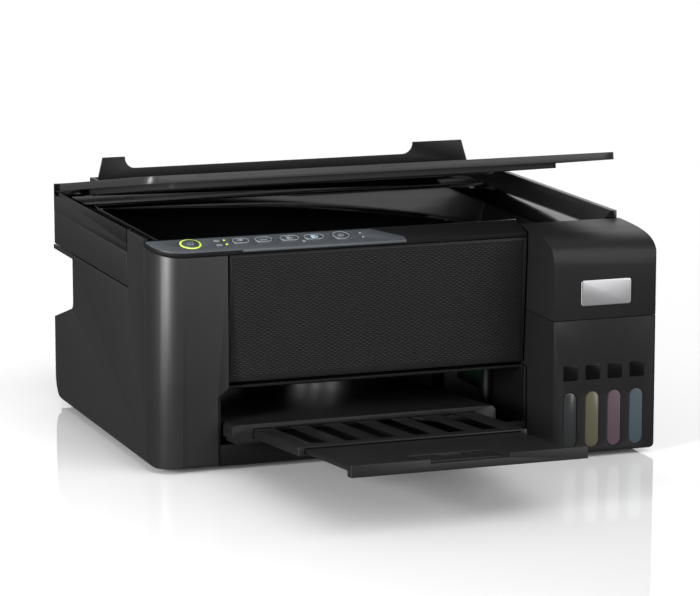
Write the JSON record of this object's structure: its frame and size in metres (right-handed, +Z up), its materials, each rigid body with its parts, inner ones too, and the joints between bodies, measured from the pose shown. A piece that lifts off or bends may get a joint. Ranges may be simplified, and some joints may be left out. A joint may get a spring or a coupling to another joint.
{
  "type": "inkjet printer",
  "caption": "All-in-one inkjet printer with a flatbed scanner under a hinged lid, refillable ink tanks, rear paper feed and a sliding output tray.",
  "frame": {"origin": "on the resting surface, below the centre of the whole outline with the lid ajar and the tray out", "axes": "+Z up, -Y to the front where the tray comes out, +X to the printer's right seen from the front"},
  "size_m": [0.375, 0.5245, 0.2174],
  "materials": {
    "dark_shell": "satin",
    "inner_black": "matt",
    "gloss_black": "gloss",
    "lid_grey": "satin",
    "slate_plate": "satin",
    "button_grey": "satin",
    "light_guide": "gloss",
    "scan_glass": "gloss",
    "white_mat": "matt",
    "tray_grey": "satin",
    "steel": "satin",
    "board_green": "satin",
    "rubber": "matt",
    "silver_badge": "satin",
    "ink_black": "gloss",
    "ink_yellow": "gloss",
    "ink_magenta": "gloss",
    "ink_cyan": "gloss",
    "cap_black": "satin",
    "cap_yellow": "satin",
    "cap_magenta": "satin",
    "cap_cyan": "satin"
  },
  "bodies": {
    "base": {"base_pan": "inner_black", "left_cover": "dark_shell", "right_cover": "dark_shell", "rear_cover": "dark_shell", "front_sill": "inner_black", "feet": "rubber", "mech_frame": "steel", "carriage_rail": "steel", "platen": "inner_black", "capping_station": "inner_black", "main_board": "board_green", "power_supply": "steel", "ac_inlet": "inner_black", "usb_port": "steel", "carriage_motor": "steel", "drive_belts": "rubber", "hinge_brackets": "steel", "chassis_screws": "steel", "tank_case": "dark_shell", "ink_tank_black": "ink_black", "ink_tank_yellow": "ink_yellow", "ink_tank_magenta": "ink_magenta", "ink_tank_cyan": "ink_cyan", "tank_labels": "gloss_black", "cap_rod": "steel", "rear_feeder": "dark_shell"},
    "tank_cover": {"tank_cover": "dark_shell", "badge_plate": "silver_badge"},
    "scanner_unit": {"scanner_frame": "dark_shell", "bed_frame": "gloss_black", "scanner_glass": "scan_glass", "scan_rod": "steel", "top_deck": "dark_shell", "control_panel": "slate_plate", "panel_board": "board_green", "panel_lights": "light_guide", "front_panel": "dark_shell"},
    "lid": {"lid_shell": "lid_grey", "lid_mat": "white_mat"},
    "tank_cap_black": {"tank_cap_black": "cap_black"},
    "tank_cap_yellow": {"tank_cap_yellow": "cap_yellow"},
    "tank_cap_magenta": {"tank_cap_magenta": "cap_magenta"},
    "tank_cap_cyan": {"tank_cap_cyan": "cap_cyan"},
    "scan_bar": {"scan_bar": "inner_black"},
    "power_button": {"power_button": "button_grey"},
    "network_button": {"network_button": "button_grey"},
    "info_button": {"info_button": "button_grey"},
    "mono_button": {"mono_button": "button_grey"},
    "colour_button": {"colour_button": "button_grey"},
    "stop_button": {"stop_button": "button_grey"},
    "output_tray": {"output_tray": "tray_grey"},
    "tray_middle": {"tray_middle": "tray_grey"},
    "tray_end": {"tray_end": "tray_grey"},
    "tray_stopper": {"tray_stopper": "tray_grey"},
    "paper_support": {"paper_support": "tray_grey"},
    "feeder_guard": {"feeder_guard": "dark_shell"},
    "edge_guide": {"edge_guide": "inner_black"},
    "carriage": {"carriage": "inner_black"},
    "feed_roller": {"feed_roller": "rubber"},
    "eject_roller": {"eject_roller": "inner_black"}
  },
  "joints": [
    {"name": "scanner_hinge", "type": "hinge", "parent": "base", "child": "scanner_unit", "pos_m": [0, 0.23135, 0.15], "axis": [1, 0, 0], "range_deg": [-20, 0]},
    {"name": "lid_hinge", "type": "hinge", "parent": "scanner_unit", "child": "lid", "pos_m": [0, 0.22435, 0.174], "axis": [-1, 0, 0], "range_deg": [-9.3, 55]},
    {"name": "tank_cover_hinge", "type": "hinge", "parent": "base", "child": "tank_cover", "pos_m": [0, -0.02065, 0.1605], "axis": [-1, 0, 0], "range_deg": [0, 70]},
    {"name": "cap_black_hinge", "type": "hinge", "parent": "base", "child": "tank_cap_black", "pos_m": [0, -0.03865, 0.1103], "axis": [-1, 0, 0], "range_deg": [0, 85]},
    {"name": "cap_yellow_hinge", "type": "hinge", "parent": "base", "child": "tank_cap_yellow", "pos_m": [0, -0.03865, 0.1103], "axis": [-1, 0, 0], "range_deg": [0, 85]},
    {"name": "cap_magenta_hinge", "type": "hinge", "parent": "base", "child": "tank_cap_magenta", "pos_m": [0, -0.03865, 0.1103], "axis": [-1, 0, 0], "range_deg": [0, 85]},
    {"name": "cap_cyan_hinge", "type": "hinge", "parent": "base", "child": "tank_cap_cyan", "pos_m": [0, -0.03865, 0.1103], "axis": [-1, 0, 0], "range_deg": [0, 85]},
    {"name": "output_tray_slide", "type": "slide", "parent": "base", "child": "output_tray", "axis": [0, 0.9968, -0.0802], "range_m": [0, 0.0175]},
    {"name": "tray_middle_slide", "type": "slide", "parent": "output_tray", "child": "tray_middle", "axis": [0, 0.9968, -0.0802], "range_m": [0, 0.0995]},
    {"name": "tray_end_slide", "type": "slide", "parent": "tray_middle", "child": "tray_end", "axis": [0, 0.9968, -0.0802], "range_m": [0, 0.0995]},
    {"name": "tray_stopper_hinge", "type": "hinge", "parent": "tray_end", "child": "tray_stopper", "pos_m": [0, -0.24893, 0.04813], "axis": [-1, 0, 0], "range_deg": [-95, 0]},
    {"name": "paper_support_slide", "type": "slide", "parent": "base", "child": "paper_support", "axis": [0, 0.1219, 0.9925], "range_m": [0, 0.095]},
    {"name": "feeder_guard_hinge", "type": "hinge", "parent": "base", "child": "feeder_guard", "pos_m": [0, 0.24105, 0.173], "axis": [1, 0, 0], "range_deg": [0, 18]},
    {"name": "edge_guide_slide", "type": "slide", "parent": "base", "child": "edge_guide", "axis": [1, 0, 0], "range_m": [0, 0.08]},
    {"name": "carriage_slide", "type": "slide", "parent": "base", "child": "carriage", "axis": [1, 0, 0], "range_m": [-0.184, 0]},
    {"name": "feed_roller_spin", "type": "hinge", "parent": "base", "child": "feed_roller", "pos_m": [0, 0.13735, 0.078], "axis": [1, 0, 0], "continuous": true},
    {"name": "eject_roller_spin", "type": "hinge", "parent": "base", "child": "eject_roller", "pos_m": [0, 0.05535, 0.072], "axis": [1, 0, 0], "continuous": true},
    {"name": "scan_bar_slide", "type": "slide", "parent": "scanner_unit", "child": "scan_bar", "axis": [1, 0, 0], "range_m": [0, 0.297]},
    {"name": "power_button_press", "type": "slide", "parent": "scanner_unit", "child": "power_button", "axis": [0, -0.2588, 0.9659], "range_m": [-0.001, 0], "stiffness_N_per_m": 400, "springref_m": 0.0005},
    {"name": "network_button_press", "type": "slide", "parent": "scanner_unit", "child": "network_button", "axis": [0, -0.2588, 0.9659], "range_m": [-0.001, 0], "stiffness_N_per_m": 400, "springref_m": 0.0005},
    {"name": "info_button_press", "type": "slide", "parent": "scanner_unit", "child": "info_button", "axis": [0, -0.2588, 0.9659], "range_m": [-0.001, 0], "stiffness_N_per_m": 400, "springref_m": 0.0005},
    {"name": "mono_button_press", "type": "slide", "parent": "scanner_unit", "child": "mono_button", "axis": [0, -0.2588, 0.9659], "range_m": [-0.001, 0], "stiffness_N_per_m": 400, "springref_m": 0.0005},
    {"name": "colour_button_press", "type": "slide", "parent": "scanner_unit", "child": "colour_button", "axis": [0, -0.2588, 0.9659], "range_m": [-0.001, 0], "stiffness_N_per_m": 400, "springref_m": 0.0005},
    {"name": "stop_button_press", "type": "slide", "parent": "scanner_unit", "child": "stop_button", "axis": [0, -0.2588, 0.9659], "range_m": [-0.001, 0], "stiffness_N_per_m": 400, "springref_m": 0.0005}
  ],
  "couplings": [
    {"joint": "eject_roller_spin", "follows": "feed_roller_spin", "ratio": 1}
  ]
}
